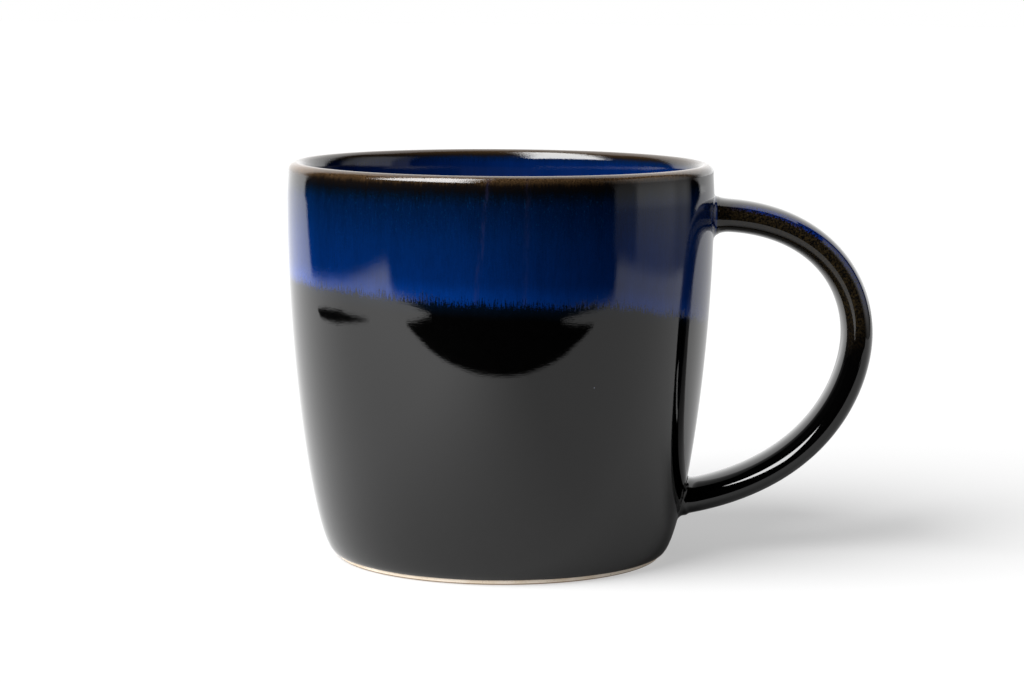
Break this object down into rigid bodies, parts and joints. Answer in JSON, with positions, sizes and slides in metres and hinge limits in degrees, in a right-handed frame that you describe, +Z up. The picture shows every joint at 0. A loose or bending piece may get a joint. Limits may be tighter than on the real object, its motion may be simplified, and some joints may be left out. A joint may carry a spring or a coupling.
{
  "type": "ceramic mug",
  "caption": "Glazed stoneware mug with a loop handle: blue dipped band over a black base, brown lip, bare clay foot ring.",
  "frame": {"origin": "under the middle of the mug's bounding box, on the surface that its foot ring stands on", "axes": "+Z up out of the mouth, +X from the cup towards the handle"},
  "size_m": [0.129, 0.0936, 0.087],
  "materials": {
    "bare_clay": "unglazed fired stoneware, matt and slightly gritty",
    "slip": "fired slip, smooth and matt under its coat",
    "black_glaze": "full gloss black stoneware glaze",
    "blue_glaze": "full gloss cobalt glaze, streaked where it ran",
    "brown_glaze": "full gloss glaze, thin and broken to brown on the lip",
    "handle_glaze": "full gloss blue over black glaze, broken to brown on the edges"
  },
  "bodies": {
    "root": {"cup_body": "bare_clay", "handle": "bare_clay", "upper_handle_joint": "slip", "lower_handle_joint": "slip", "black_wall_glaze": "black_glaze", "blue_band_glaze": "blue_glaze", "lip_glaze": "brown_glaze", "liner_glaze": "blue_glaze", "underside_glaze": "black_glaze", "upper_handle_glaze": "handle_glaze", "lower_handle_glaze": "black_glaze"}
  },
  "joints": []
}
